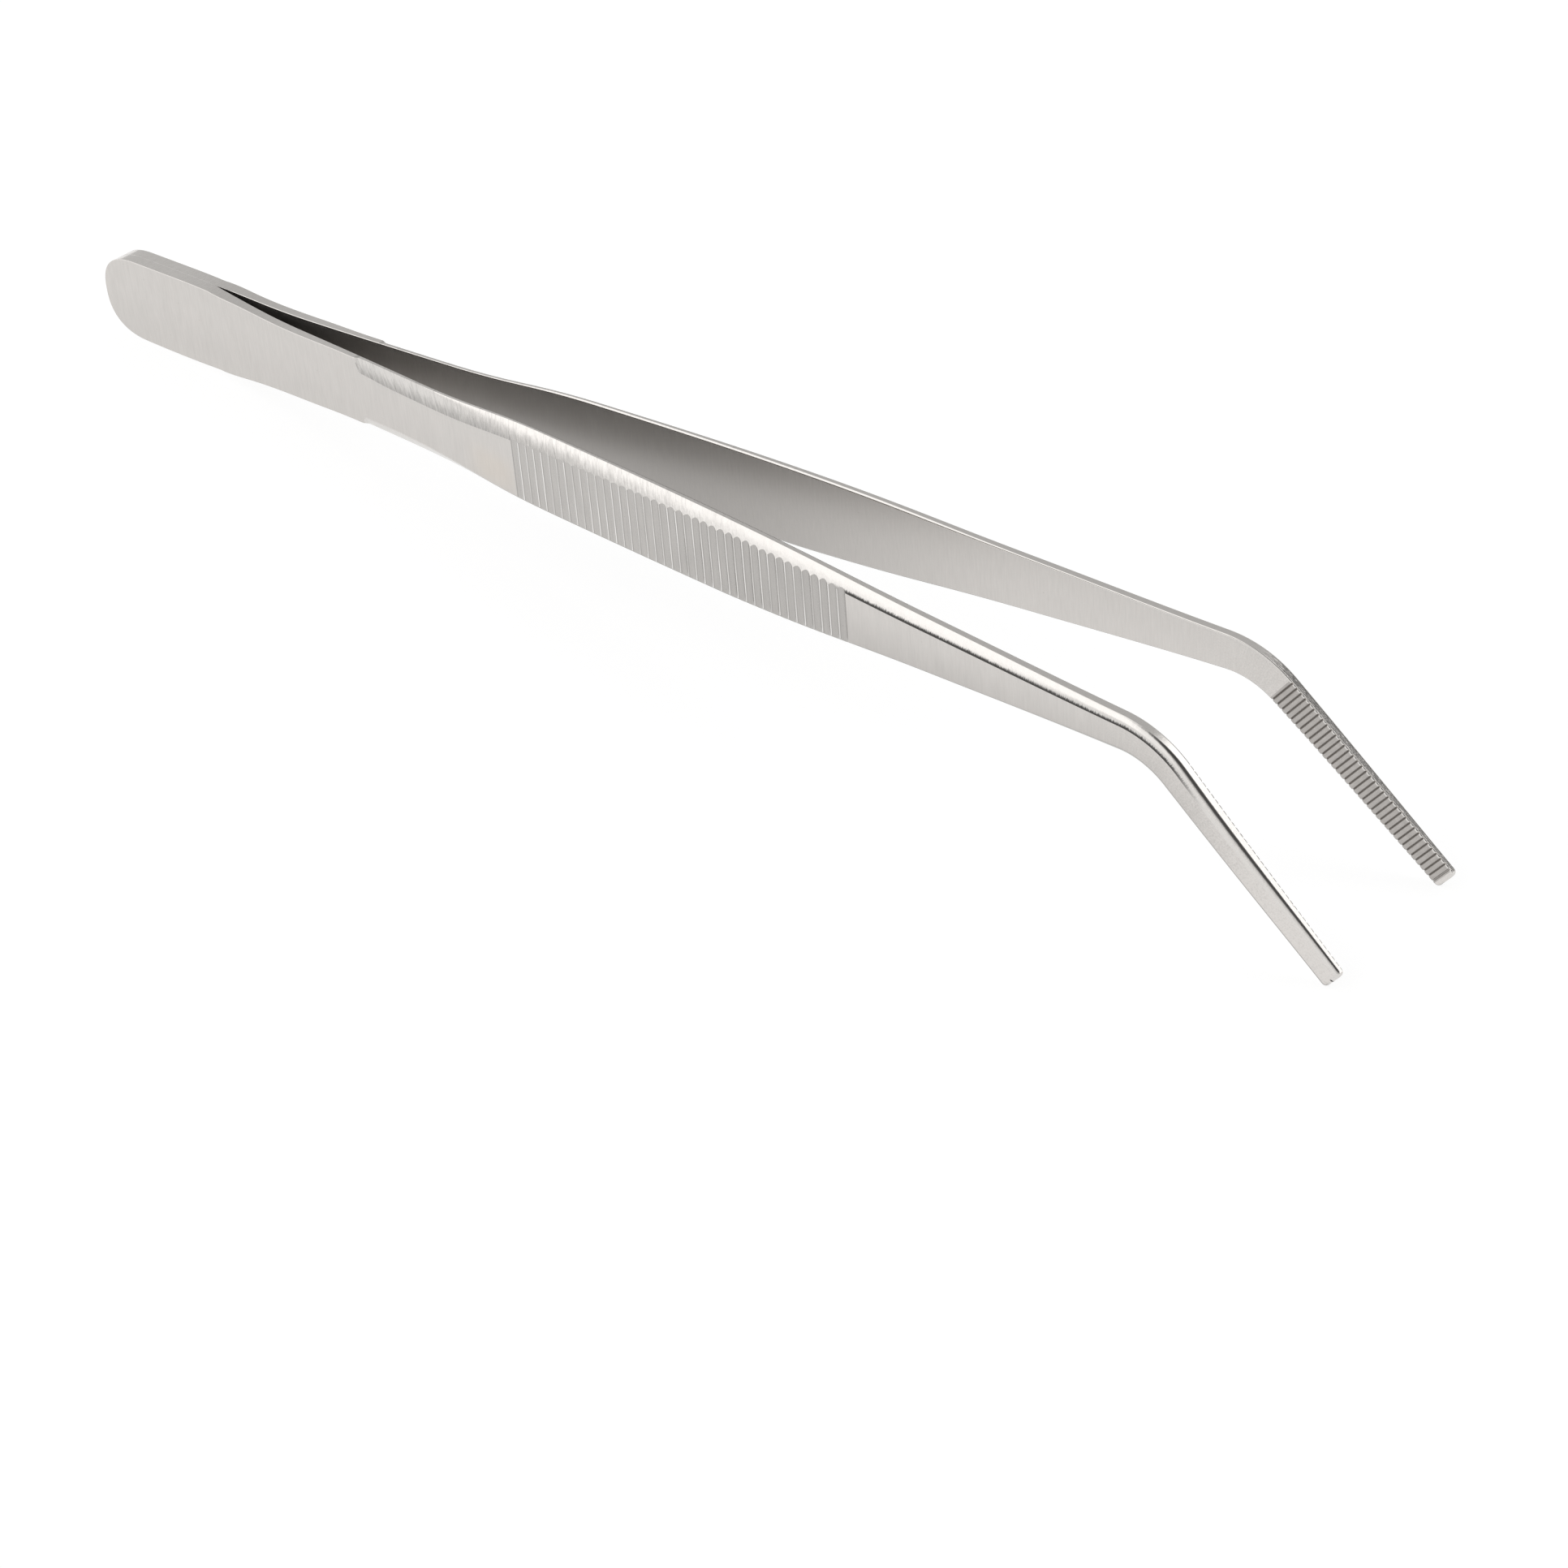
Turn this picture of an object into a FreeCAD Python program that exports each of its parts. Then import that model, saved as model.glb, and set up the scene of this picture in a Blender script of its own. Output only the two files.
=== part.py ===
"""Angled-tip tweezers: two ground stainless blades, spot welded back to back at the heel.

Everything is laid out along one blade, from the heel end (0) to the tip, with the inner faces of
the two blades mirrored in the plane Y = 0. The finished parts are then tipped up so that the heel
and both tips stand on Z = 0, tips towards +X, with the origin below the middle of the whole tool.
"""
import FreeCAD, Part
import math
import os

V = FreeCAD.Vector

# Lengths along a blade, from the heel end, in millimetres
SLOT_START = 21.0       # the blades part here, and are welded before it
FLEX_AT = 42.0          # middle of the thin stretch that bends when the tool is squeezed
BEND_START = 171.0
BEND_RADIUS = 11.0
BEND_ANGLE = math.radians(40.0)
JAW_LENGTH = 26.9
BEND_END = BEND_START + BEND_RADIUS * BEND_ANGLE
TIP = BEND_END + JAW_LENGTH

# How the blade changes along its length: (distance, value), all in millimetres
TOP_EDGE = [(0, 5.8), (15, 5.8), (38, 4.8), (60, 4.8), (84, 5.8), (113, 5.5), (145, 3.8), (181, 2.1), (TIP, 1.6)]
BOTTOM_EDGE = [(0, 5.5), (15, 5.8), (38, 4.7), (60, 4.4), (84, 5.1), (113, 5.0), (145, 3.2), (181, 1.7), (TIP, 1.5)]
HALF_GAP = [(SLOT_START, 0.08), (31, 0.75), (47, 1.7), (72, 3.4), (104, 5.4), (136, 7.2), (171, 8.9), (TIP, 10.4)]
THICKNESS = [(0, 1.65), (SLOT_START, 1.65), (28, 1.3), (38, 1.15), (48, 0.85), (58, 0.95), (80, 1.65),
             (145, 1.6), (180, 1.6), (TIP, 0.9)]

# Rounded shoulders along the edges of the back: from SHOULDER_START on, square edges before it
SHOULDER_START = 48.5
SHOULDER_WIDTH = [(SHOULDER_START, 1.9), (56, 2.2), (80, 1.9), (113, 1.6), (145, 1.3), (181, 1.0), (TIP, 0.6)]
LOWER_SHARE = 0.5       # width of a lower shoulder, as a share of the upper one's
EDGE_THICKNESS = [(SHOULDER_START, 0.5), (60, 0.45), (80, 0.47), (113, 0.65), (145, 0.8), (180, 0.9), (TIP, 0.5)]
EDGE_BREAK = 0.05       # how far the square edges are taken off

# Rounded ends, seen from the side
HEEL_ROUND = 7.0        # how far the heel's round reaches along the blade
HEEL_HANDLE = 0.68      # fullness of that round: 0.552 would be an ellipse, and more is squarer
TIP_ROUND = 0.6         # radius of the corners of a tip
TIP_HANDLE = 0.552

# Spot welds between the blades
WELD_AT = [7.0, 15.0]
WELD_RADIUS = 2.0
WELD_DEPTH = 0.4        # how far each nugget reaches into a blade

# Hollow-ground cross grooves for the fingers, in the outer face
GRIP_START = 78.6
GRIP_PITCH = 1.33
GRIP_COUNT = 41
GRIP_DEPTH = 0.2
GRIP_WIDTH = 1.27

# Cross grooves of the jaws, in the inner face
TOOTH_START = BEND_END + 0.1
TOOTH_PITCH = 0.72
TOOTH_COUNT = 37
TOOTH_DEPTH = 0.28
TOOTH_HALF_WIDTH = 0.27

CLOSED_GAP = 0.03       # half the space left between the tips when both arms are squeezed home
REACH = 8.0             # how far a groove cutter runs past the middle of the blade
CLEAR = 1.0             # how far a corner cutter stands out of the tip
CUTTER_LIFT = 0.3       # how far a tooth cutter stands out of the face it cuts


def along(knots, s):
    """Smooth value at distance s: cubic between the knots, level at each high or low one."""
    if s <= knots[0][0]:
        return knots[0][1]
    if s >= knots[-1][0]:
        return knots[-1][1]
    slopes = [(b[1] - a[1]) / (b[0] - a[0]) for a, b in zip(knots, knots[1:])]
    tangents = [slopes[0]]
    for before, after in zip(slopes, slopes[1:]):
        same_way = before * after > 0
        tangents.append(2 * before * after / (before + after) if same_way else 0.0)
    tangents.append(slopes[-1])
    i = max(k for k in range(len(knots) - 1) if knots[k][0] <= s)
    span = knots[i + 1][0] - knots[i][0]
    u = (s - knots[i][0]) / span
    value = (2 * u ** 3 - 3 * u ** 2 + 1) * knots[i][1] + (3 * u ** 2 - 2 * u ** 3) * knots[i + 1][1]
    value += (u ** 3 - 2 * u ** 2 + u) * span * tangents[i] + (u ** 3 - u ** 2) * span * tangents[i + 1]
    return value


def centreline(s):
    """Where the middle of the blade is at distance s, and how far it has turned down: x, z, turn."""
    if s <= BEND_START:
        return s, 0.0, 0.0
    turn = min((s - BEND_START) / BEND_RADIUS, BEND_ANGLE)
    x = BEND_START + BEND_RADIUS * math.sin(turn)
    z = -BEND_RADIUS * (1 - math.cos(turn))
    past = max(s - BEND_END, 0.0)
    return x + past * math.cos(turn), z - past * math.sin(turn), turn


def at(s, width, depth):
    """Point of the front blade: width above the centreline, depth outwards from the plane Y = 0."""
    x, z, turn = centreline(s)
    return V(x + width * math.sin(turn), -depth, z + width * math.cos(turn))


def half_gap(s):
    return along(HALF_GAP, s)


def section(s, shouldered):
    """Cross-section of the front blade: flat inner face, edges, shoulders or square edges, flat back."""
    inner = half_gap(s)
    top = along(TOP_EDGE, s)
    bottom = -along(BOTTOM_EDGE, s)
    back = inner + along(THICKNESS, s)
    edge = inner + along(EDGE_THICKNESS, s) if shouldered else back - EDGE_BREAK
    shoulder = along(SHOULDER_WIDTH, s) if shouldered else EDGE_BREAK
    lower = shoulder * LOWER_SHARE if shouldered else EDGE_BREAK
    drop = 1 - math.cos(math.pi / 4)
    swell = edge + (back - edge) * math.sin(math.pi / 4)
    corners = [at(s, top, inner), at(s, top, edge), at(s, top - shoulder, back),
               at(s, bottom + lower, back), at(s, bottom, edge), at(s, bottom, inner)]
    top_round = Part.Arc(corners[1], at(s, top - shoulder * drop, swell), corners[2]).toShape()
    bottom_round = Part.Arc(corners[3], at(s, bottom + lower * drop, swell), corners[4]).toShape()
    edges = [Part.makeLine(corners[0], corners[1]), top_round, Part.makeLine(corners[2], corners[3]),
             bottom_round, Part.makeLine(corners[4], corners[5]), Part.makeLine(corners[5], corners[0])]
    return Part.Wire(edges)


def blade(distances, shouldered=True):
    """Solid stretch of the front blade through its cross-sections at these distances."""
    return Part.makeLoft([section(s, shouldered) for s in distances], True, False)


def evenly(start, end, count):
    return [start + (end - start) * k / (count - 1) for k in range(count)]


def blade_way(s):
    """Directions at distance s: forward along the blade, and up across its width."""
    turn = centreline(s)[2]
    return V(math.cos(turn), 0, -math.sin(turn)), V(math.sin(turn), 0, math.cos(turn))


def tooth_cutter(s):
    """V-shaped cutter across the inner face of the front blade."""
    forward, across = blade_way(s)
    mouth = at(s, -REACH, half_gap(s))
    outwards = V(0, -1, 0)
    spread = forward * TOOTH_HALF_WIDTH * (1 + CUTTER_LIFT / TOOTH_DEPTH)
    lifted = mouth - outwards * CUTTER_LIFT
    corners = [lifted - spread, lifted + spread, mouth + outwards * TOOTH_DEPTH]
    return Part.Face(Part.makePolygon(corners + [corners[0]])).extrude(across * 2 * REACH)


def grip_cutter(s):
    """Round cutter across the back of the front blade, as the grinding wheel leaves it."""
    radius = (GRIP_WIDTH ** 2 / 4 + GRIP_DEPTH ** 2) / (2 * GRIP_DEPTH)
    back = half_gap(s) + along(THICKNESS, s)
    start = at(s, -REACH, back + radius - GRIP_DEPTH)
    return Part.makeCylinder(radius, 2 * REACH, start, blade_way(s)[1])


def quarter_round(side, corner, nose, fullness):
    """Curve from a point on a straight side to a point on the end, round the corner between them."""
    curve = Part.BezierCurve()
    curve.setPoles([side, side + (corner - side) * fullness, nose + (corner - nose) * fullness, nose])
    return curve.toShape()


def smooth_edge(points):
    curve = Part.BSplineCurve()
    curve.interpolate(points)
    return curve.toShape()


def welded_heel():
    """Flat plate of the front blade where it is welded to the other, with its round end."""
    top = [V(s, 0, along(TOP_EDGE, s)) for s in evenly(HEEL_ROUND, SLOT_START, 6)]
    bottom = [V(s, 0, -along(BOTTOM_EDGE, s)) for s in evenly(HEEL_ROUND, SLOT_START, 6)]
    nose = V(0, 0, (top[0].z + bottom[0].z) / 2)
    outline = [smooth_edge(top), Part.makeLine(top[-1], bottom[-1]), smooth_edge(bottom),
               quarter_round(top[0], V(0, 0, top[0].z), nose, HEEL_HANDLE),
               quarter_round(bottom[0], V(0, 0, bottom[0].z), nose, HEEL_HANDLE)]
    face = Part.Face(Part.Wire(Part.__sortEdges__(outline)))
    return face.extrude(V(0, -along(THICKNESS, 0), 0))


def tip_corner(top):
    """Waste outside the rounded top or bottom corner of a tip, as a block to cut away."""
    sign = 1 if top else -1
    width = sign * along(TOP_EDGE if top else BOTTOM_EDGE, TIP)
    side = at(TIP - TIP_ROUND, width, 0)
    corner = at(TIP, width, 0)
    nose = at(TIP, width - sign * TIP_ROUND, 0)
    path = [nose, at(TIP + CLEAR, width - sign * TIP_ROUND, 0), at(TIP + CLEAR, width + sign * CLEAR, 0),
            at(TIP - TIP_ROUND, width + sign * CLEAR, 0), side]
    edges = [Part.makeLine(a, b) for a, b in zip(path, path[1:])]
    edges.append(quarter_round(side, corner, nose, TIP_HANDLE))
    deepest = half_gap(TIP) + along(THICKNESS, TIP) + CLEAR
    return Part.Face(Part.Wire(edges)).extrude(V(0, -deepest, 0))


def spot_weld(s):
    """Nugget of fused steel between the two heels."""
    return Part.makeCylinder(WELD_RADIUS, 2 * WELD_DEPTH, V(s, -WELD_DEPTH, 0), V(0, 1, 0))


def front_heel():
    parted = blade([SLOT_START, 24, 28, 33, 38, FLEX_AT], shouldered=False)
    heel = parted.fuse(welded_heel())
    for s in WELD_AT:
        heel = heel.cut(spot_weld(s))
    return heel.Solids[0]


def front_arm():
    spring = blade([FLEX_AT, 45, SHOULDER_START], shouldered=False)
    shank = blade([SHOULDER_START, 52, 56, 62, 70, 80, 96, 113, 129, 145, 158, BEND_START])
    bend = blade(evenly(BEND_START, BEND_END, 5))
    jaw = blade(evenly(BEND_END, TIP, 5))
    arm = spring.fuse([shank, bend, jaw])
    cutters = [grip_cutter(GRIP_START + k * GRIP_PITCH) for k in range(GRIP_COUNT)]
    cutters += [tooth_cutter(TOOTH_START + k * TOOTH_PITCH) for k in range(TOOTH_COUNT)]
    cutters += [tip_corner(top=True), tip_corner(top=False)]
    return arm.cut(cutters).Solids[0]


def outline_points(shape):
    return [point for edge in shape.Edges for point in edge.discretize(Number=12)]


def lowest(points, rise):
    """Height of the lowest of these points once the tool is tipped up by rise."""
    return min(p.x * math.sin(rise) + p.z * math.cos(rise) for p in points)


def standing_rise(heel, arm):
    """Angle that brings the heel and the tips down onto one level."""
    heel_points = outline_points(heel)
    arm_points = outline_points(arm)
    low, high = 0.0, math.radians(15)
    for _ in range(40):
        rise = (low + high) / 2
        tip_is_lower = lowest(arm_points, rise) < lowest(heel_points, rise)
        low, high = (rise, high) if tip_is_lower else (low, rise)
    return rise


def stand(shape):
    """Tip a part up onto the heel and the tips, and put it over the origin."""
    placed = shape.copy()
    placed.rotate(V(0, 0, 0), V(0, -1, 0), math.degrees(RISE))
    placed.translate(OFFSET)
    return placed


def standing_point(point):
    turned = FreeCAD.Rotation(V(0, -1, 0), math.degrees(RISE)).multVec(point)
    return turned + OFFSET


def mirrored(shape):
    return shape.mirror(V(0, 0, 0), V(0, 1, 0))


os.makedirs("parts", exist_ok=True)

parts = {"heel_front": front_heel(), "arm_front": front_arm()}
parts["heel_rear"] = mirrored(parts["heel_front"])
parts["arm_rear"] = mirrored(parts["arm_front"])
for number, distance in enumerate(WELD_AT, 1):
    parts["spot_weld_%d" % number] = spot_weld(distance)

RISE = standing_rise(parts["heel_front"], parts["arm_front"])
OFFSET = V(0, 0, 0)
box = FreeCAD.BoundBox()
for name in ("heel_front", "arm_front"):
    for point in outline_points(parts[name]):
        box.add(standing_point(point))
OFFSET = V(-box.Center.x, 0, -box.ZMin)

for name, shape in parts.items():
    placed = stand(shape)
    print(name, placed.ShapeType, placed.isValid(), round(placed.Volume, 2), placed.optimalBoundingBox(False))
    placed.exportStep("parts/%s.step" % name)

# Where the arms flex, and how far each turns before the tips meet
flex = standing_point(at(FLEX_AT, 0, half_gap(FLEX_AT)))
width_way = FreeCAD.Rotation(V(0, -1, 0), math.degrees(RISE)).multVec(V(0, 0, 1))
reach = at(TIP, along(TOP_EDGE, TIP), 0).x - FLEX_AT
swing = math.degrees(math.atan2(half_gap(TIP) - CLOSED_GAP, reach))
print("box", box)
print("rise", math.degrees(RISE), "offset", OFFSET)
print("front flex point", flex, "width direction", width_way, "swing", swing)
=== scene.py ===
import math

import bpy
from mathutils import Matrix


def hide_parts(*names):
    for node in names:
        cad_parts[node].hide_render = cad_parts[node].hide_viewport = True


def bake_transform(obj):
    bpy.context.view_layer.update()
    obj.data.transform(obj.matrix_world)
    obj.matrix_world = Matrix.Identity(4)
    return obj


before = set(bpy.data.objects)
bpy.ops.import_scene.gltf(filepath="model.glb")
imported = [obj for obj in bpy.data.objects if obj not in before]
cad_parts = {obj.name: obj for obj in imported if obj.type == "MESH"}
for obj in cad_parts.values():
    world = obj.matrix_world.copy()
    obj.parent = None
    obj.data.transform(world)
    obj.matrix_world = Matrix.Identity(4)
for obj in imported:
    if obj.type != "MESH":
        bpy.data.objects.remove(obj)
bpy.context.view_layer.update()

# ---------------------------------------------------------------------------------------------
# Blades. Each is one strip of stainless steel, blanked to shape, thinned past the heel so that it
# springs, ground flat, rounded along the shoulders of its back and bent down at the jaw. Its grip
# has hollow-ground grooves and its jaw has fine cut teeth. The two heels are spot-welded together.
# ---------------------------------------------------------------------------------------------

MM = 0.001

# Lengths along a blade from its heel end, and sizes across it, in millimetres
HEEL_ROUND = 7.0
SLOT_START = 21.0
SHOULDER_START = 48.5
BEND_START = 171.0
BEND_RADIUS = 11.0
BEND_ANGLE = math.radians(40.0)
BEND_END = BEND_START + BEND_RADIUS * BEND_ANGLE
TIP = BEND_END + 26.9
TIP_ROUND = 0.6
TOP_EDGE = [(0, 5.8), (15, 5.8), (38, 4.8), (60, 4.8), (84, 5.8), (113, 5.5), (145, 3.8), (181, 2.1),
            (TIP, 1.6)]
BOTTOM_EDGE = [(0, 5.5), (15, 5.8), (38, 4.7), (60, 4.4), (84, 5.1), (113, 5.0), (145, 3.2), (181, 1.7),
               (TIP, 1.5)]
HALF_GAP = [(SLOT_START - 0.5, 0.0), (SLOT_START + 0.5, 0.1), (31, 0.75), (47, 1.7), (72, 3.4), (104, 5.4),
            (136, 7.2), (171, 8.9), (TIP, 10.4)]
THICKNESS = [(0, 1.65), (SLOT_START, 1.65), (28, 1.3), (38, 1.15), (48, 0.85), (58, 0.95), (80, 1.65),
             (145, 1.6), (180, 1.6), (TIP, 0.9)]
EDGE_THICKNESS = [(SHOULDER_START, 0.45), (60, 0.4), (80, 0.45), (113, 0.65), (145, 0.8), (180, 0.9),
                  (TIP, 0.5)]
SHOULDER_WIDTH = [(SHOULDER_START, 1.9), (56, 2.2), (80, 1.9), (113, 1.6), (145, 1.3), (181, 1.0),
                  (TIP, 0.55)]
LOWER_SHARE = 0.5       # width of a lower shoulder, as a share of the upper one's
INNER_BREAK = [(0, 0.006), (SLOT_START, 0.006), (SLOT_START + 4, 0.06), (65, 0.08), (85, 0.2), (125, 0.2),
               (150, 0.09), (TIP, 0.12)]
OUTER_BREAK = 0.045     # how far a square outer edge is taken off

# Where the blade stands in the frame: its rise from heel to bend, and the place of its heel end
RISE = math.radians(4.51267)
HEEL_AT = (-100.1424, 5.1549)

# Columns round a blade's section, in order from the lower inside edge
EDGE_COLUMN = 0.12      # width of the first and last columns of a face, which keep its edges crisp
LIP_SHARE = 0.08        # the same on an edge, as a share of it
COLUMNS = {"inside": 10, "top break": 2, "top edge": 4, "top shoulder": 9, "back": 12,
           "bottom shoulder": 9, "bottom edge": 4, "bottom break": 2}

GRIP = {"Grip start": 77.935, "Grip pitch": 1.33, "Grip grooves": 41.0, "Grip depth": 0.2,
        "Grip width": 1.27}
TEETH = {"Tooth start": BEND_END - 0.26, "Tooth pitch": 0.72, "Teeth": 37.0, "Tooth depth": 0.22}
GRIP_END = GRIP["Grip start"] + GRIP["Grip grooves"] * GRIP["Grip pitch"]
TEETH_END = TEETH["Tooth start"] + (TEETH["Teeth"] - 1) * TEETH["Tooth pitch"]

# Rows along the blade: the round of the heel, stretches from one distance to another, and the tip
GRIP_ROWS = 12          # to each groove
CREST_ROW = 0.05        # width of the rows on each side of a crest
TOOTH_ROWS = 8          # to each tooth
HEEL_ROWS = 24
CORNER_ROWS = 10
NOSE_ROWS = 6
STRETCHES = [(HEEL_ROUND, SLOT_START - 0.6, 12), (SLOT_START - 0.6, SLOT_START + 0.6, 6),
             (SLOT_START + 0.6, SHOULDER_START - 0.2, 26), (SHOULDER_START - 0.2, 52.0, 16),
             (52.0, GRIP["Grip start"], 26),
             (GRIP["Grip start"], GRIP_END, int(GRIP["Grip grooves"]) * GRIP_ROWS),
             (GRIP_END, BEND_START, 39), (BEND_START, TEETH["Tooth start"], 23),
             (TEETH["Tooth start"], TEETH_END, int(TEETH["Teeth"] - 1) * TOOTH_ROWS),
             (TEETH_END, TIP - TIP_ROUND, 8)]
LAST_ROW = HEEL_ROWS + sum(count for _, _, count in STRETCHES) + CORNER_ROWS + NOSE_ROWS


class Wire:
    """A socket of a node tree, on which arithmetic is written as Python expressions."""

    def __init__(self, tree, socket):
        self.tree = tree
        self.socket = socket

    def maths(self, operation, *terms):
        inputs = {place: term for place, term in enumerate(terms)}
        return lay(self.tree, "ShaderNodeMath", {"operation": operation}, inputs)

    def __add__(self, other):
        return self.maths("ADD", self, other)

    def __radd__(self, other):
        return self.maths("ADD", other, self)

    def __sub__(self, other):
        return self.maths("SUBTRACT", self, other)

    def __rsub__(self, other):
        return self.maths("SUBTRACT", other, self)

    def __mul__(self, other):
        return self.maths("MULTIPLY", self, other)

    def __rmul__(self, other):
        return self.maths("MULTIPLY", other, self)

    def __truediv__(self, other):
        return self.maths("DIVIDE", self, other)

    def __rtruediv__(self, other):
        return self.maths("DIVIDE", other, self)

    def __pow__(self, other):
        return self.maths("POWER", self, other)

    def __gt__(self, other):
        return self.maths("GREATER_THAN", self, other)

    def __lt__(self, other):
        return self.maths("LESS_THAN", self, other)

    def least(self, other):
        return self.maths("MINIMUM", self, other)

    def most(self, other):
        return self.maths("MAXIMUM", self, other)

    def within(self, low, high):
        return self.most(low).least(high)

    def sine(self):
        return self.maths("SINE", self)

    def cosine(self):
        return self.maths("COSINE", self)

    def root(self):
        return self.maths("SQRT", self.most(0.0))

    def wrapped(self):
        return self.maths("FRACT", self)

    def floor(self):
        return self.maths("FLOOR", self)

    def rounded(self):
        return self.maths("ROUND", self)

    def size(self):
        return self.maths("ABSOLUTE", self)

    def __getitem__(self, name):
        """Another output of the same node."""
        return Wire(self.tree, self.socket.node.outputs[name])


def lay(tree, kind, settings=None, sockets=None, out=0):
    """Adds one node: its settings first, then the values or wires of its sockets. Gives an output."""
    node = tree.nodes.new(kind)
    for name, value in (settings or {}).items():
        if name == "curve":
            points = node.mapping.curves[0].points
            while len(points) < len(value):
                points.new(0.5, 0.5)
            for point, place in zip(points, value):
                point.location = place
                point.handle_type = "AUTO_CLAMPED"
            node.mapping.update()
        else:
            setattr(node, name, value)
    for key, value in (sockets or {}).items():
        socket = node.inputs[key]
        if isinstance(value, Wire):
            tree.links.new(value.socket, socket)
        else:
            socket.default_value = value
    return Wire(tree, node.outputs[out])


def along(tree, knots, s):
    """The size that these knots give at distance s, as a smooth curve."""
    reach = 12.0            # millimetres at the top of the curve
    curve = [(place / TIP, size / reach) for place, size in knots]
    if curve[0][0] > 0:
        curve = [(0.0, curve[0][1])] + curve
    return lay(tree, "ShaderNodeFloatCurve", {"curve": curve}, {"Value": s / TIP}) * reach


def stepped(place, count, edge):
    """Progress from 0 to 1 over a run of columns, of which the first and last are only edge wide."""
    middle = (1 - 2 * edge) / (count - 2)
    return (place.within(0, 1) * edge + (place - 1).within(0, count - 2) * middle
            + (place - (count - 1)).within(0, 1) * edge)


def eased(value, low, high):
    """Smooth step from 0 at low to 1 at high."""
    x = ((value - low) / (high - low)).within(0, 1)
    return x * x * (3 - 2 * x)


def blade_rows(tree, row, size):
    """Distance along the blade of each cross-section, how far it is round the tip's corner from 0 to 1,
    and how far the nose of the tip has closed there."""
    round_off = (row / HEEL_ROWS).within(0, 1) * (math.pi / 2)
    s = (1 - round_off.cosine()) * HEEL_ROUND
    first = HEEL_ROWS
    for start, end, count in STRETCHES:
        here = (row - first).within(0, count)
        if start == GRIP["Grip start"]:
            whole = (here / GRIP_ROWS).floor()
            part = stepped(here - whole * GRIP_ROWS, GRIP_ROWS, CREST_ROW / GRIP["Grip pitch"])
            s = s + (whole + part) * size["Grip pitch"]
        elif start == TEETH["Tooth start"]:
            s = s + here * (size["Tooth pitch"] / TOOTH_ROWS)
        else:
            s = s + here * ((end - start) / count)
        first += count
    corner = ((row - first) / CORNER_ROWS).within(0, 1)
    nose = ((row - first - CORNER_ROWS) / NOSE_ROWS).within(0, 1)
    return s + (corner * (math.pi / 2)).sine() * TIP_ROUND, corner, nose


def new_steel(name):
    """A fresh material: its tree, and the blade's own place in millimetres: along, across and deep."""
    material = bpy.data.materials.new(name)
    material.use_nodes = True
    tree = material.node_tree
    tree.nodes.clear()
    place = lay(tree, "ShaderNodeAttribute", {"attribute_name": "place"}, None, "Vector")
    split = lay(tree, "ShaderNodeSeparateXYZ", None, {0: place})
    return material, tree, (split["X"], split["Y"], split["Z"])


def grain(tree, place, fineness, shift, detail=2.0):
    """Noise from 0 to 1 with this many waves to a millimetre along, across and deep."""
    x, y, z = [wire * fine for wire, fine in zip(place, fineness)]
    spot = lay(tree, "ShaderNodeCombineXYZ", None, {"X": x + shift, "Y": y, "Z": z})
    return lay(tree, "ShaderNodeTexNoise", None,
               {"Vector": spot, "Scale": 1.0, "Detail": detail, "Roughness": 0.6})


def pits(tree, place, fineness, share):
    """Small round marks, in this share of the cells of a fine net: 1 in a mark and 0 outside."""
    x, y, z = [wire * fineness for wire in place]
    spot = lay(tree, "ShaderNodeCombineXYZ", None, {"X": x, "Y": y, "Z": z})
    cell = lay(tree, "ShaderNodeTexVoronoi", None, {"Vector": spot, "Scale": 1.0})
    chance = lay(tree, "ShaderNodeSeparateColor", None, {0: cell["Color"]})
    radius, rim = 0.13, 0.05
    return (radius - cell["Distance"]).most(0).least(rim) / rim * (chance["Red"] < share)


def blended(tree, share, first, second):
    """Colour that goes from the first to the second as the share goes from 0 to 1."""
    return lay(tree, "ShaderNodeMix", {"data_type": "RGBA"}, {0: share, 6: first, 7: second}, 2)


def clothe(tree, colour, roughness, height, depth):
    """Bare metal with this colour and roughness, and marks this deep, in metres."""
    bump = lay(tree, "ShaderNodeBump", None, {"Strength": 1.0, "Distance": depth, "Height": height})
    metal = lay(tree, "ShaderNodeBsdfPrincipled", None,
                {"Base Color": colour, "Metallic": 1.0, "Roughness": roughness, "Normal": bump})
    out = tree.nodes.new("ShaderNodeOutputMaterial")
    tree.links.new(metal.socket, out.inputs["Surface"])


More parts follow.
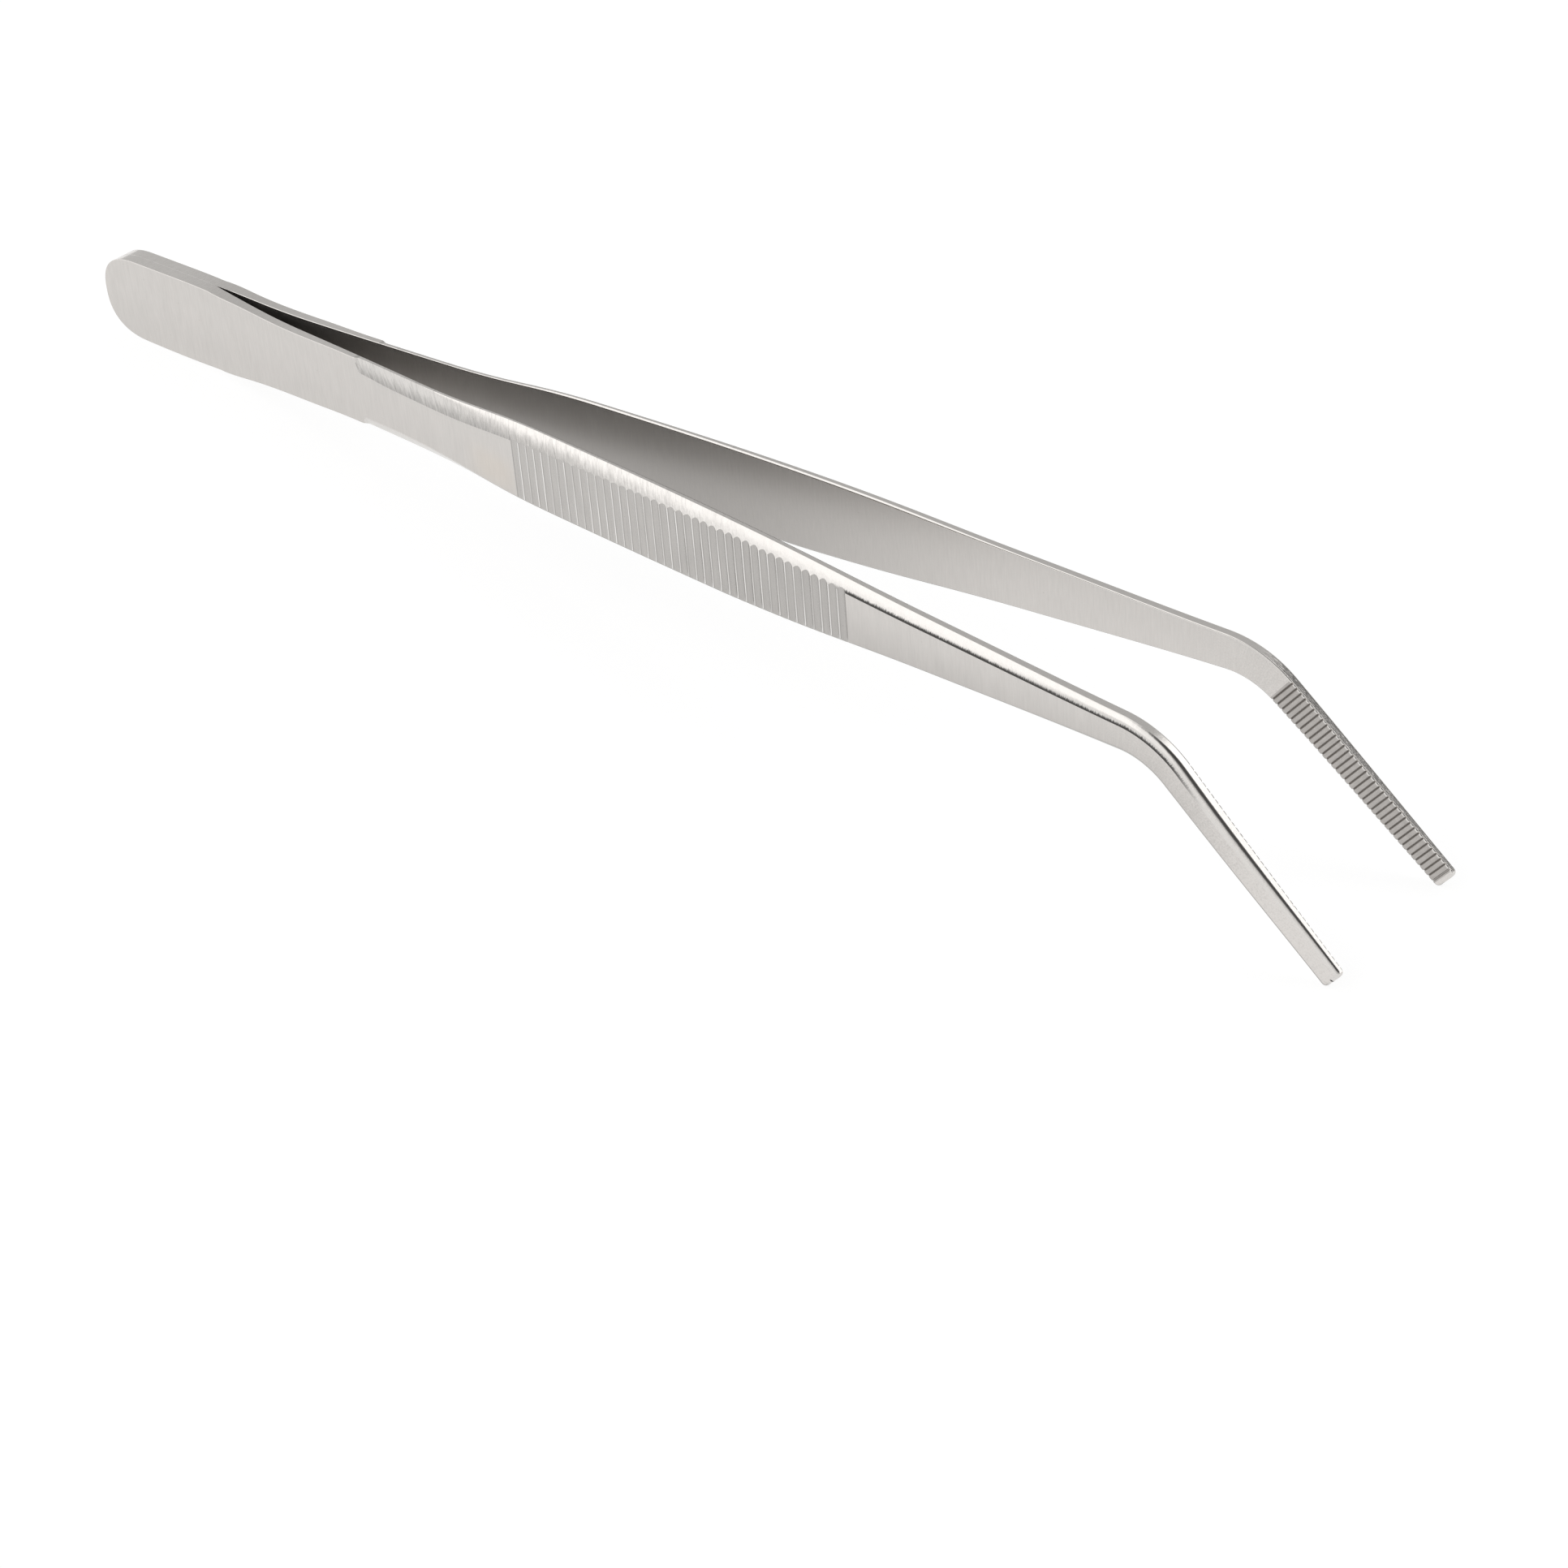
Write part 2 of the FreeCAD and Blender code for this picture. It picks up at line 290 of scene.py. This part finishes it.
def ground_steel():
    """Flat faces, ground with a belt that runs across the blade: fine cross lines of uneven length, and
    a coarser, brighter grain on the jaws. Just before the grip the wheel's heat has left a faint straw
    tint. Painted shade darkens the inner face towards the slot, where the blades close in on each other,
    and the lower part of the back, more so past the grip but not on the jaws."""
    darker, lighter = (0.545, 0.525, 0.503, 1), (0.7, 0.673, 0.647, 1)
    painted_low_shade, painted_slot_shade, straw = (0.2, 0.19, 0.18, 1), (0.08, 0.075, 0.07, 1), (0.72, 0.62, 0.5, 1)
    tint_at, tint_across = 74, -1.5
    inner_depth = 0.25
    material, tree, place = new_steel("ground_steel")
    s, across, deep = place
    lines = grain(tree, place, (3.6, 0.25, 0.3), 0, 3.0)
    hairs = grain(tree, place, (8.0, 0.5, 0.5), 31)
    passes = grain(tree, place, (0.35, 0.16, 0.2), 70)
    speckle = (grain(tree, place, (5.0, 5.0, 5.0), 61, 3.0) - 0.5) * eased(s, 160, 185)
    by_the_bend = eased(s, 146, 156) * (1 - eased(s, 176, 182)) * (across > 0.8)
    marks = pits(tree, place, 1.1, by_the_bend * 0.25 + 0.05)
    inside = deep < inner_depth
    outside = 1 - inside
    on_jaw = eased(s, 181, 197)
    shade = (lines * 0.7 + hairs * 0.5 + passes * 0.3 - 0.25 + on_jaw * 0.45 + speckle * 2.5).within(0, 1)
    colour = blended(tree, shade * (1 - marks * 0.8), darker, lighter)
    # Painted shade: the lower part of the back is darkened, more so past the grip, where it reflects the
    # shaded floor
    low = eased(across, 2.5, -4.0) * outside * (0.05 + eased(s, 120, 135) * 0.2)
    colour = blended(tree, low * (1 - on_jaw), colour, painted_low_shade)
    heat = (1 - eased((s - tint_at).size(), 1.0, 6.0)) * (1 - eased((across - tint_across).size(), 0.5, 3.5))
    colour = blended(tree, heat * outside * 0.22, colour, straw)
    # Painted shade: the inner face is darkened towards the slot, where the blades stand close together
    dull_and_painted_shade = inside * (1 - eased(s, 90, 150)) * (0.28 + eased(s, 50, 75) * 0.17)
    colour = blended(tree, dull_and_painted_shade, colour, painted_slot_shade)
    clothe(tree, colour, 0.24 + lines * 0.16 + passes * 0.06, lines + hairs * 0.7 + speckle - marks, 7e-6)
    return material


def polished_steel():
    """Edges and shoulders, buffed with a soft wheel that leaves slight waves and a few hairlines. Behind
    and into the grip the foot of an upper shoulder is rougher, with painted shade in streaks on it; past
    the grip a ragged painted dark reflection runs along that foot; and the lower shoulders get painted
    shade."""
    darker, lighter, painted_shade_dark = (0.6, 0.582, 0.56, 1), (0.74, 0.718, 0.692, 1), (0.05, 0.048, 0.046, 1)
    material, tree, place = new_steel("polished_steel")
    s, across, deep = place
    foot = lay(tree, "ShaderNodeAttribute", {"attribute_name": "foot"}, None, "Fac")
    waves = grain(tree, place, (1.5, 1.1, 1.1), 12)
    hairs = grain(tree, place, (6.0, 1.6, 1.6), 55, 3.0)
    marks = pits(tree, place, 1.6, 0.08)
    shade = (waves * 0.5 + hairs * 0.5).within(0, 1) * (1 - marks * 0.7)
    colour = blended(tree, shade, darker, lighter)
    upper = across > 0
    slanted = (s + across * 0.6, across, deep)
    strokes = (grain(tree, slanted, (3.2, 0.7, 0.7), 17, 4.0) - 0.5) * (1 - eased(s, 100, 128))
    # Painted shade, in streaks, on the foot of an upper shoulder behind and into the grip, which is also
    # made rougher
    dull_and_painted_shade = (1 - eased(foot, 0.0, 1.9)) * (1 - eased(s, 80, 122)) * 0.38 + strokes * 0.9
    dull_and_painted_shade = dull_and_painted_shade * upper * (s > SHOULDER_START)
    # Painted dark reflection: a ragged dark line along the foot of an upper shoulder past the grip
    ragged = foot + (grain(tree, place, (8.0, 1.4, 1.4), 90, 3.0) - 0.5) * 0.55
    line = (1 - eased(ragged, 0.16, 0.46)) * upper
    line = line * eased(s, 129, 133) * (1 - eased(s, 177, 184)) * 0.97
    # Painted shade: the lower shoulders, which face down towards the shaded floor, are darkened
    painted_under_shade = eased(across, 0.0, -1.2) * eased(s, 60, 90) * 0.35
    colour = blended(tree, dull_and_painted_shade.most(line).most(painted_under_shade).within(0, 1), colour, painted_shade_dark)
    jaw = eased(s, 170, 188)
    sparkle = grain(tree, place, (7.0, 7.0, 7.0), 21) * jaw
    clothe(tree, colour, 0.07 + hairs * 0.08 + jaw * 0.05 + dull_and_painted_shade.within(0, 1) * 0.3,
           waves * 2.0 + hairs * 0.5 + sparkle * 0.8 + strokes * 1.5 - marks * 0.5, 8e-6)
    return material


def hollow_ground_steel():
    """Grip grooves, cut by the edge of a round wheel: lines across, a painted highlight along the crest
    between two, and painted shade beside each crest and in the grooves towards the jaw.
    """
    darker, lighter = (0.4, 0.386, 0.37, 1), (0.6, 0.58, 0.558, 1)
    shaded, painted_highlight = (0.1, 0.095, 0.09, 1), (0.9, 0.88, 0.86, 1)
    material, tree, place = new_steel("hollow_ground_steel")
    s = place[0]
    lines = grain(tree, place, (5.5, 0.18, 0.5), 5, 3.0)
    passes = grain(tree, place, (0.5, 0.3, 0.2), 90)
    marks = pits(tree, place, 1.3, 0.06)
    shade = (lines * 0.55 + passes * 0.3 + 0.08).within(0, 1) * (1 - marks * 0.8)
    colour = blended(tree, shade, darker, lighter)
    turn = ((s - GRIP["Grip start"]) / GRIP["Grip pitch"]).wrapped()
    # Painted shade: a dark band just beside each crest, and more shade in the deeper grooves towards the jaw
    beside = (1 - eased((turn - 0.1).size(), 0.0, 0.08)) * 0.3
    painted_groove_shade = eased(s, 95, 118) * 0.1
    colour = blended(tree, beside.most(painted_groove_shade), colour, shaded)
    # Painted highlight: a bright, uneven line along each crest
    uneven = ((grain(tree, place, (0.8, 0.07, 0.1), 37) - 0.3) * 3.5).within(0.25, 1)
    crest = eased((turn - 0.5).size(), 0.435, 0.475) * uneven
    colour = blended(tree, crest, colour, painted_highlight)
    clothe(tree, colour, 0.2 + lines * 0.16, lines - marks, 6e-6)
    return material


def jaw_steel():
    """Toothed face of a jaw: milled across, duller, and darker down in the grooves."""
    darker, lighter = (0.3, 0.284, 0.27, 1), (0.58, 0.555, 0.53, 1)
    material, tree, place = new_steel("jaw_steel")
    lines = grain(tree, place, (5.0, 0.6, 1.0), 8, 3.0)
    dull_and_painted_shade = grain(tree, place, (1.2, 1.2, 1.2), 44)
    groove = (place[2] / TEETH["Tooth depth"]).within(0, 1)
    shade = (lines * 0.5 + dull_and_painted_shade * 0.5).within(0, 1) * (1 - groove * 0.6)
    colour = blended(tree, shade, darker, lighter)
    clothe(tree, colour, 0.26 + dull_and_painted_shade * 0.16, lines * 0.6 + dull_and_painted_shade * 0.4, 6e-6)
    return material


def blade_tree():
    """Geometry nodes that lay one blade as a skin of cross-sections, with its grip and its teeth cut."""
    tree = bpy.data.node_groups.new("Ground blade", "GeometryNodeTree")
    sizes = {"Side": 1.0, "Bend radius": BEND_RADIUS, "Bend angle": BEND_ANGLE, "Rise": RISE,
             "Jaw twist": 0.0, "Wheel wander": 0.12, **GRIP, **TEETH}
    for name, value in sizes.items():
        socket = tree.interface.new_socket(name, in_out="INPUT", socket_type="NodeSocketFloat")
        socket.default_value = value
    tree.interface.new_socket("Seed", in_out="INPUT", socket_type="NodeSocketInt").default_value = 7
    tree.interface.new_socket("Geometry", in_out="OUTPUT", socket_type="NodeSocketGeometry")
    entry = tree.nodes.new("NodeGroupInput")
    size = {name: Wire(tree, entry.outputs[name]) for name in list(sizes) + ["Seed"]}

    # Each point of a plain grid is one place of the skin: its row along the blade, its column round it
    split = lay(tree, "ShaderNodeSeparateXYZ", None, {0: lay(tree, "GeometryNodeInputPosition")})
    around = sum(COLUMNS.values())
    row = (split["X"] + LAST_ROW / 2).rounded()
    column = (split["Y"] + around / 2).rounded()
    s, corner, nose = blade_rows(tree, row, size)
    grid = lay(tree, "GeometryNodeMeshGrid", None, {"Size X": float(LAST_ROW), "Size Y": float(around),
                                                    "Vertices X": LAST_ROW + 1, "Vertices Y": around + 1})

    # Outline seen from the side: half width, middle, and the way it faces (forward share, up share)
    top = along(tree, TOP_EDGE, s)
    bottom = along(tree, BOTTOM_EDGE, s)
    full = (top + bottom) / 2
    middle = (top - bottom) / 2
    ahead = (1 - s / HEEL_ROUND).within(0, 1)
    squareness = 2.5
    fullness = (1 - ahead ** squareness).most(0) ** (1 / squareness)
    turn = corner * (math.pi / 2)
    half = (full * fullness - (1 - turn.cosine()) * TIP_ROUND) * (1 - nose)
    lean = (ahead ** (squareness - 1)) / HEEL_ROUND
    stand = (fullness ** (squareness - 1)) / full
    length = (lean * lean + stand * stand).root()
    facing = lean / length - turn.sine()
    upward = (stand / length) * turn.cosine()

    # Sizes of the section here
    gap = along(tree, HALF_GAP, s)
    thick = along(tree, THICKNESS, s)
    ground = eased(s, SHOULDER_START - 0.2, SHOULDER_START + 0.9)
    edge = (thick - OUTER_BREAK) + (along(tree, EDGE_THICKNESS, s) - (thick - OUTER_BREAK)) * ground
    shoulder = OUTER_BREAK + (along(tree, SHOULDER_WIDTH, s) - OUTER_BREAK) * ground
    lower = OUTER_BREAK + (along(tree, SHOULDER_WIDTH, s) * LOWER_SHARE - OUTER_BREAK) * ground
    broken = along(tree, INNER_BREAK, s)
    rise = thick - edge
    onto_jaw = eased(s, 150, 178)
    knee_in = 0.1               # the shoulder's curve bends here between the edge and the back
    knee_up = 0.26 + onto_jaw * 0.5

    # Hollow-ground grooves across the back of the grip, each a little deeper or shallower
    groove = (s - size["Grip start"]) / size["Grip pitch"]
    number = lay(tree, "FunctionNodeFloatToInt", {"rounding_mode": "FLOOR"}, {0: groove})
    wander = lay(tree, "FunctionNodeRandomValue", {"data_type": "FLOAT"},
                 {2: -1.0, 3: 1.0, "ID": number, "Seed": size["Seed"]}, 1)
    in_grip = (groove > 0.001) * (groove < GRIP["Grip grooves"] - 0.001)
    aside = (groove - number - 0.5).size() * 2 * size["Grip pitch"] / size["Grip width"]
    pressed = (0.5 + 0.5 * eased(s, 85, 115)) * (1 + wander * size["Wheel wander"])
    hollow = (1 - aside * aside).most(0) * size["Grip depth"] * pressed * in_grip

    # Where the shoulder meets the back: lower down, and so nearer the edge, in a groove
    level = 1 - hollow / rise
    meets = level / (knee_up + (knee_up * knee_up + (1 - 2 * knee_up) * level).root())

    # Progress through each run of columns
    place = {}
    start = 0
    for name, count in COLUMNS.items():
        place[name] = (column - start, count)
        start += count
    inside = stepped(*place["inside"], EDGE_COLUMN / (2 * full))
    back = stepped(*place["back"], EDGE_COLUMN / (2 * full))
    share = {name: (here / count).within(0, 1) for name, (here, count) in place.items()}
    quarter = {name: share[name] * (math.pi / 2) for name in ("top break", "bottom break")}
    down, up = share["top shoulder"] * meets, (1 - share["bottom shoulder"]) * meets
    top_in = 2 * down * (1 - down) * knee_in + down * down
    top_up = 2 * down * (1 - down) * knee_up + down * down
    meets_up = 2 * meets * (1 - meets) * knee_up + meets * meets
    bottom_in = 2 * up * (1 - up) * knee_in + up * up
    bottom_up = 2 * up * (1 - up) * knee_up + up * up

    # Inset from the outline, place across the width, and depth from the inner face
    on_top = column < around / 2
    top_inset = broken * (1 - quarter["top break"].sine()) + shoulder * top_in
    bottom_inset = broken * (1 - quarter["bottom break"].cosine()) + lower * bottom_in
    inset = top_inset * (1 - back) + bottom_inset * back
    across = 2 * inside - 2 * back - 1
    flat = {name: stepped(*place[name], LIP_SHARE) * (edge - broken) for name in ("top edge", "bottom edge")}
    climb = broken * (1 - quarter["top break"].cosine()) + flat["top edge"] + rise * top_up
    fall = rise * (meets_up - bottom_up) + flat["bottom edge"] + broken * quarter["bottom break"].sine()
    depth = climb - fall
    e = middle + across * (half - inset * upward)
    s_here = s + inset * facing

    # Teeth across the inner face of the jaw, with rounded lands between narrow grooves
    tooth = (s - size["Tooth start"]) / size["Tooth pitch"]
    in_jaw = (tooth > 0.0) * (tooth < TEETH["Teeth"] + 0.01)
    aside = (tooth.wrapped() - 0.5).size() * 2
    land_share = 0.62
    land = ((aside / land_share).least(1) * (math.pi / 2)).sine()
    depth = depth.most((1 - land) * size["Tooth depth"] * in_jaw)

    own_place = lay(tree, "ShaderNodeCombineXYZ", None, {"X": s_here, "Y": e, "Z": depth})
    foot = shoulder * (1 - top_in) * on_top + lower * (1 - bottom_in) * (1 - on_top)

    # Twisted slightly at the jaw, as no two blades are bent quite alike
    twist = size["Jaw twist"] * eased(s, BEND_START - 6, BEND_END + 4)
    e, depth = e * twist.cosine() - depth * twist.sine(), depth * twist.cosine() + e * twist.sine()

    # Bent down at the jaw, tipped up onto the heel and the tips, and set out to its own side
    bend = ((s_here - BEND_START) / size["Bend radius"]).most(0).least(size["Bend angle"])
    past = (s_here - BEND_END).most(0)
    x = s_here.least(BEND_START) + (size["Bend radius"] + e) * bend.sine() + past * bend.cosine()
    z = e * bend.cosine() - size["Bend radius"] * (1 - bend.cosine()) - past * bend.sine()
    lift = size["Rise"]
    spot = lay(tree, "ShaderNodeCombineXYZ", None, {
        "X": (x * lift.cosine() - z * lift.sine() + HEEL_AT[0]) * MM,
        "Y": (gap + depth) * size["Side"] * MM,
        "Z": (x * lift.sine() + z * lift.cosine() + HEEL_AT[1]) * MM})
    skin = lay(tree, "GeometryNodeStoreNamedAttribute", {"data_type": "FLOAT_VECTOR", "domain": "POINT"},
               {"Geometry": grid, "Name": "place", "Value": own_place})
    skin = lay(tree, "GeometryNodeStoreNamedAttribute", {"data_type": "FLOAT", "domain": "POINT"},
               {"Geometry": skin, "Name": "foot", "Value": foot})

    # Finishes: ground faces, polished edges and shoulders, hollow-ground grip, toothed jaw
    runs = list(COLUMNS)
    starts = [sum(COLUMNS[name] for name in runs[:k]) for k in range(len(runs))]
    inner_face = column < starts[1]
    back_face = (column > starts[4]) * (column < starts[5])
    squared = s < SHOULDER_START + 0.3
    finish = 1 + (0 - inner_face - back_face)
    finish = finish * (1 - squared * (column > starts[3]) * (column < starts[6]))
    finish = finish + back_face * in_grip * 2 + inner_face * in_jaw * 3
    skin = lay(tree, "GeometryNodeStoreNamedAttribute", {"data_type": "FLOAT", "domain": "FACE"},
               {"Geometry": skin, "Name": "finish", "Value": finish})
    crease = in_grip * ((column - starts[4]).size() < 0.5).most((column - starts[5]).size() < 0.5)
    skin = lay(tree, "GeometryNodeStoreNamedAttribute", {"data_type": "FLOAT", "domain": "POINT"},
               {"Geometry": skin, "Name": "crease", "Value": crease})
    skin = lay(tree, "GeometryNodeSetPosition", None, {"Geometry": skin, "Position": spot})
    skin = lay(tree, "GeometryNodeMergeByDistance", None, {"Geometry": skin, "Distance": 1e-6})
    skin = lay(tree, "GeometryNodeFlipFaces", None, {"Mesh": skin, "Selection": size["Side"] < 0})
    skin = lay(tree, "GeometryNodeSetShadeSmooth", {"domain": "FACE"},
               {"Geometry": skin, "Shade Smooth": True})
    angle = lay(tree, "GeometryNodeInputMeshEdgeAngle")
    sharp = angle > math.radians(50)
    creased = lay(tree, "GeometryNodeInputNamedAttribute", {"data_type": "FLOAT"}, {"Name": "crease"})
    skin = lay(tree, "GeometryNodeSetShadeSmooth", {"domain": "EDGE"},
               {"Geometry": skin, "Selection": sharp.most(creased > 0.9), "Shade Smooth": False})
    skin = lay(tree, "GeometryNodeRealizeInstances", None, {"Geometry": skin})
    given = lay(tree, "GeometryNodeInputNamedAttribute", {"data_type": "FLOAT"}, {"Name": "finish"})
    finishes = [ground_steel, polished_steel, hollow_ground_steel, jaw_steel]
    for number, make in enumerate(finishes):
        chosen = (given > number - 0.5) * (given < number + 0.5)
        skin = lay(tree, "GeometryNodeSetMaterial", None,
                   {"Geometry": skin, "Selection": chosen, "Material": make()})
    leave = tree.nodes.new("NodeGroupOutput")
    tree.links.new(skin.socket, leave.inputs["Geometry"])
    return tree


def make_blade(name, side, seed, twist, tree):
    """One blade as a plain mesh, on its side of the tool."""
    holder = bpy.data.objects.new(name + "_nodes", bpy.data.meshes.new(name + "_nodes"))
    bpy.context.scene.collection.objects.link(holder)
    modifier = holder.modifiers.new("Blade", "NODES")
    modifier.node_group = tree
    inputs = {item.name: item.identifier for item in tree.interface.items_tree if item.in_out == "INPUT"}
    modifier[inputs["Side"]] = side
    modifier[inputs["Seed"]] = seed
    modifier[inputs["Jaw twist"]] = math.radians(twist)
    ready = holder.evaluated_get(bpy.context.evaluated_depsgraph_get())
    mesh = bpy.data.meshes.new_from_object(ready, preserve_all_data_layers=True,
                                           depsgraph=bpy.context.evaluated_depsgraph_get())
    bpy.data.objects.remove(holder)
    blade = bpy.data.objects.new(name, mesh)
    mesh.name = name
    bpy.context.scene.collection.objects.link(blade)
    return blade


blade_nodes = blade_tree()
for name, side, seed, twist in (("front", -1.0, 7, 0.0), ("rear", 1.0, 23, 3.5)):
    blade = make_blade("blade_" + name, side, seed, twist, blade_nodes)
    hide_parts("heel_" + name, "arm_" + name)
    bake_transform(blade)


# ---------------------------------------------------------------------------------------------
# Spot welds. Two nuggets of steel that was melted between the heels and set again, which hold
# the blades together. They are inside, so only the tool's maker sees their dull grey grain.
# ---------------------------------------------------------------------------------------------

nugget = bpy.data.materials.new("weld_steel")
nugget.use_nodes = True
nugget.node_tree.nodes.clear()
inner_place = lay(nugget.node_tree, "ShaderNodeTexCoord", None, None, "Object")
coarse = lay(nugget.node_tree, "ShaderNodeTexNoise", None,
             {"Vector": inner_place, "Scale": 1800.0, "Detail": 3.0})
dull_grey = blended(nugget.node_tree, coarse, (0.34, 0.33, 0.32, 1), (0.56, 0.55, 0.53, 1))
clothe(nugget.node_tree, dull_grey, 0.45 + coarse * 0.2, coarse, 2e-5)
for node in ("spot_weld_1", "spot_weld_2"):
    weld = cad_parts[node]
    weld.data.materials.clear()
    weld.data.materials.append(nugget)


# ---------------------------------------------------------------------------------------------
# Floor. A white sheet of plastic on a light table. It glows from below, and so it shows only
# faint shadows.
# ---------------------------------------------------------------------------------------------

FLOOR_REACH = 0.7       # metres from the middle to each side
floor_mesh = bpy.data.meshes.new("floor")
corners = [(x * FLOOR_REACH, y * FLOOR_REACH, 0.0) for x, y in ((-1, -1), (1, -1), (1, 1), (-1, 1))]
floor_mesh.from_pydata(corners, [], [(0, 1, 2, 3)])
floor = bpy.data.objects.new("floor", floor_mesh)
bpy.context.scene.collection.objects.link(floor)
sheet = bpy.data.materials.new("light_table")
sheet.use_nodes = True
sheet.node_tree.nodes.clear()
glow = lay(sheet.node_tree, "ShaderNodeBsdfPrincipled", None,
           {"Base Color": (0.2, 0.2, 0.2, 1), "Roughness": 0.9, "Emission Color": (1, 1, 1, 1),
            "Emission Strength": 0.86})
sheet_out = sheet.node_tree.nodes.new("ShaderNodeOutputMaterial")
sheet.node_tree.links.new(glow.socket, sheet_out.inputs["Surface"])
floor_mesh.materials.append(sheet)


# ---------------------------------------------------------------------------------------------
# Light. A white tent round the table. The cloth is brightest in front, dimmer towards the jaws and
# behind the heel, lit again behind the grip, and dim straight behind. The lens has a dark opening.
# ---------------------------------------------------------------------------------------------

tent = bpy.data.worlds.new("tent")
bpy.context.scene.world = tent
tent.use_nodes = True
tent.node_tree.nodes.clear()
way = lay(tent.node_tree, "ShaderNodeSeparateXYZ", None,
          {0: lay(tent.node_tree, "ShaderNodeTexCoord", None, None, "Generated")})
to_x, to_y, height = way["X"], way["Y"], way["Z"]
FRONT, BACK = 1.02, 0.6             # strength of the cloth in front and behind
LENS_WAY = (0.5235, -0.157, 0.838)  # the way up to the dark opening
OPENING_LOSS = 0.88
behind = eased(to_y, 0.05, 0.35)
side_dimming = 1 - eased(to_x, 0.0, 0.35) * 0.38
above_floor = eased(height, 0.03, 0.25) * (0.5 - eased(to_x, -0.5, -0.2) * 0.3)
overhead = eased(height, 0.75, 0.95) * 0.3
front_light = (FRONT + above_floor - overhead) * side_dimming
straight_back = eased(to_y, 0.7, 0.76) * 1.6
back_light = BACK + eased(to_x, -0.1, 0.25) * (1.15 - straight_back) + eased(to_x, -0.66, -0.75) * 0.08
towards_lens = to_x * LENS_WAY[0] + to_y * LENS_WAY[1] + height * LENS_WAY[2]
opening = eased(towards_lens, 0.63, 0.92)
light = (front_light + (back_light - front_light) * behind) * (1 - opening * OPENING_LOSS)
sky = lay(tent.node_tree, "ShaderNodeBackground", None, {"Color": (1.0, 0.993, 0.99, 1), "Strength": light})
sky_out = tent.node_tree.nodes.new("ShaderNodeOutputWorld")
tent.node_tree.links.new(sky.socket, sky_out.inputs["Surface"])


# ---------------------------------------------------------------------------------------------
# Camera. It stands to the front right of the tool and looks down on it, with a long lens so that
# the blades keep their proportions.
# ---------------------------------------------------------------------------------------------

lens = bpy.data.cameras.new("camera")
lens.lens = 88.733
lens.sensor_width = 36.0
camera = bpy.data.objects.new("camera", lens)
camera.location = (0.255767, -0.278486, 0.263083)
camera.rotation_euler = [math.radians(angle) for angle in (52.3193, 0.6047, 40.3909)]
bpy.context.scene.collection.objects.link(camera)
bpy.context.scene.camera = camera
bpy.context.scene.view_settings.view_transform = "Standard"
